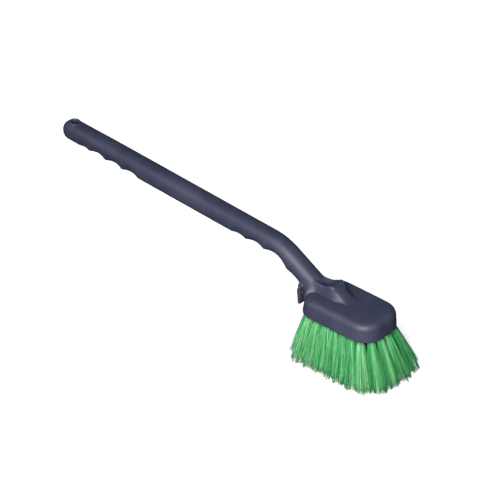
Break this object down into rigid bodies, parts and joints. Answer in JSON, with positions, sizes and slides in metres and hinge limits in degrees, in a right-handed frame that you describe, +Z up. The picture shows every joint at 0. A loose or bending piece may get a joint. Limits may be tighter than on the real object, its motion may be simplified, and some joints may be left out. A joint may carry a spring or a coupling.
{
  "type": "wheel brush",
  "caption": "Long-handled wash brush: one moulded handle with finger grooves, curved neck, rounded block with pail hook, and flared soft bristle tufts held by wire anchors.",
  "frame": {"origin": "centre of the block's flat underside, where the tufts come out", "axes": "+X to the rounded front of the block, with the handle running to -X; +Y to one side; +Z up, out of the top of the block"},
  "size_m": [0.5346, 0.101, 0.1394],
  "materials": {
    "moulded_plastic": "fine moulded texture, soft sheen",
    "green_filament": "fine flagged filaments",
    "anchor_wire": "drawn flat wire"
  },
  "bodies": {
    "root": {"handle_and_block": "moulded_plastic", "tuft_outer_01": "green_filament", "tuft_outer_02": "green_filament", "tuft_outer_03": "green_filament", "tuft_outer_04": "green_filament", "tuft_outer_05": "green_filament", "tuft_outer_06": "green_filament", "tuft_outer_07": "green_filament", "tuft_outer_08": "green_filament", "tuft_outer_09": "green_filament", "tuft_outer_10": "green_filament", "tuft_outer_11": "green_filament", "tuft_outer_12": "green_filament", "tuft_outer_13": "green_filament", "tuft_outer_14": "green_filament", "tuft_outer_15": "green_filament", "tuft_outer_16": "green_filament", "tuft_outer_17": "green_filament", "tuft_outer_18": "green_filament", "tuft_outer_19": "green_filament", "tuft_outer_20": "green_filament", "tuft_outer_21": "green_filament", "tuft_outer_22": "green_filament", "tuft_inner_01": "green_filament", "tuft_inner_02": "green_filament", "tuft_inner_03": "green_filament", "tuft_inner_04": "green_filament", "tuft_inner_05": "green_filament", "tuft_inner_06": "green_filament", "tuft_inner_07": "green_filament", "anchor_outer_01": "anchor_wire", "anchor_outer_02": "anchor_wire", "anchor_outer_03": "anchor_wire", "anchor_outer_04": "anchor_wire", "anchor_outer_05": "anchor_wire", "anchor_outer_06": "anchor_wire", "anchor_outer_07": "anchor_wire", "anchor_outer_08": "anchor_wire", "anchor_outer_09": "anchor_wire", "anchor_outer_10": "anchor_wire", "anchor_outer_11": "anchor_wire", "anchor_outer_12": "anchor_wire", "anchor_outer_13": "anchor_wire", "anchor_outer_14": "anchor_wire", "anchor_outer_15": "anchor_wire", "anchor_outer_16": "anchor_wire", "anchor_outer_17": "anchor_wire", "anchor_outer_18": "anchor_wire", "anchor_outer_19": "anchor_wire", "anchor_outer_20": "anchor_wire", "anchor_outer_21": "anchor_wire", "anchor_outer_22": "anchor_wire", "anchor_inner_01": "anchor_wire", "anchor_inner_02": "anchor_wire", "anchor_inner_03": "anchor_wire", "anchor_inner_04": "anchor_wire", "anchor_inner_05": "anchor_wire", "anchor_inner_06": "anchor_wire", "anchor_inner_07": "anchor_wire"}
  },
  "joints": []
}
